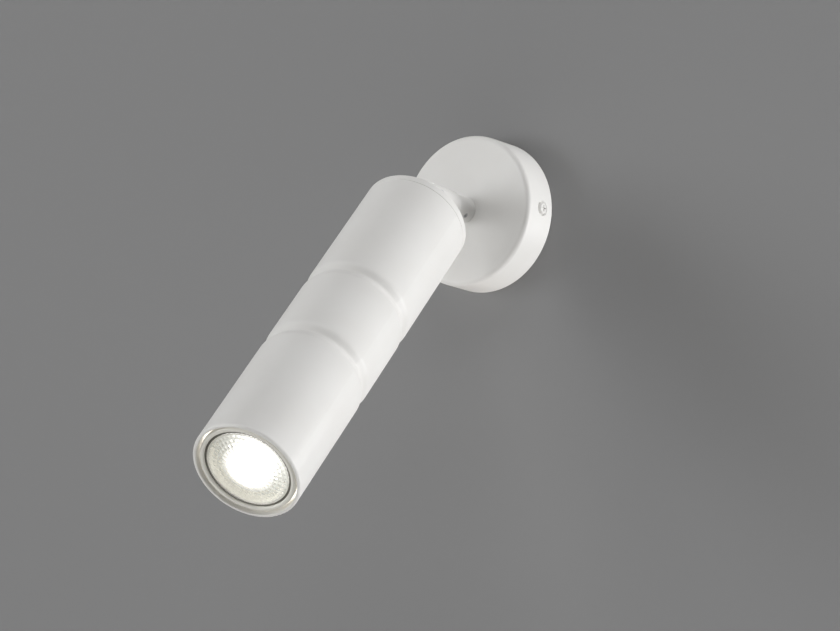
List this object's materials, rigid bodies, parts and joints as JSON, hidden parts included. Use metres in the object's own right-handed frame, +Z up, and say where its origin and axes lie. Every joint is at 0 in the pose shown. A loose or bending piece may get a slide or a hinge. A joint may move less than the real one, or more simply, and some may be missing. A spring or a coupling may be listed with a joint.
{
  "type": "pivoting spotlight wall light",
  "caption": "Round wall canopy on a slotted bracket, a neck with a swivelling and tilting fork knuckle, and a long grooved tube spotlight with a twist-lock reflector lamp.",
  "frame": {"origin": "middle of the canopy's back, in the plane of the wall, at the centre of the two wall-screw slots", "axes": "+X to the right seen from the room, +Y into the wall, +Z up"},
  "size_m": [0.084, 0.2307, 0.2213],
  "materials": {
    "white_paint": "matte",
    "zinc_steel": "satin",
    "brass": "satin",
    "nickel": "polished",
    "nylon": "matte",
    "terminal_plastic": "satin",
    "live_sleeve": "satin",
    "neutral_sleeve": "satin",
    "earth_sleeve": "satin",
    "ceramic": "matte",
    "lamp_glass": "gloss",
    "lens": "gloss",
    "board": "matte",
    "chip": "matte",
    "lamp_plastic": "matte",
    "driver_board": "satin"
  },
  "bodies": {
    "canopy": {"canopy_cup": "white_paint", "wall_bracket": "zinc_steel", "side_screws": "white_paint", "terminal_block": "terminal_plastic", "terminal_sleeves": "brass", "clamp_screws": "zinc_steel", "block_screw": "zinc_steel", "earth_screw": "zinc_steel", "earth_tag": "brass", "live_lead": "live_sleeve", "neutral_lead": "neutral_sleeve", "earth_lead": "earth_sleeve", "neck": "white_paint", "neck_grub_screw": "zinc_steel", "neck_nut": "zinc_steel", "neck_washer": "zinc_steel"},
    "fork": {"swivel_washer": "nylon", "swivel_fork": "white_paint", "hinge_screw": "zinc_steel", "hinge_nut": "zinc_steel", "tilt_washers": "nylon"},
    "head": {"tilt_knuckle": "white_paint", "knuckle_washer": "zinc_steel", "knuckle_nut": "zinc_steel", "rear_cap": "white_paint", "lamp_tube": "white_paint", "tie_screws": "zinc_steel", "carrier_plate": "zinc_steel", "lampholder": "ceramic", "holder_screws": "zinc_steel", "holder_contacts": "brass", "head_earth_screw": "zinc_steel", "head_earth_tag": "brass", "head_live_lead": "live_sleeve", "head_neutral_lead": "neutral_sleeve", "head_earth_lead": "earth_sleeve", "lamp_glass": "lamp_glass", "lamp_lens": "lens", "led_board": "board", "led_chips": "chip", "lamp_base": "lamp_plastic", "lamp_driver": "driver_board", "lamp_pins": "nickel"}
  },
  "joints": [
    {"name": "head_swivel", "type": "hinge", "parent": "canopy", "child": "fork", "pos_m": [0, 0, 0], "axis": [0, -1, 0], "range_deg": [-165.4, 154.6]},
    {"name": "head_tilt", "type": "hinge", "parent": "fork", "child": "head", "pos_m": [0, -0.0532, 0], "axis": [0.9956, 0, 0.0941], "range_deg": [-135.9, 44.1]}
  ]
}
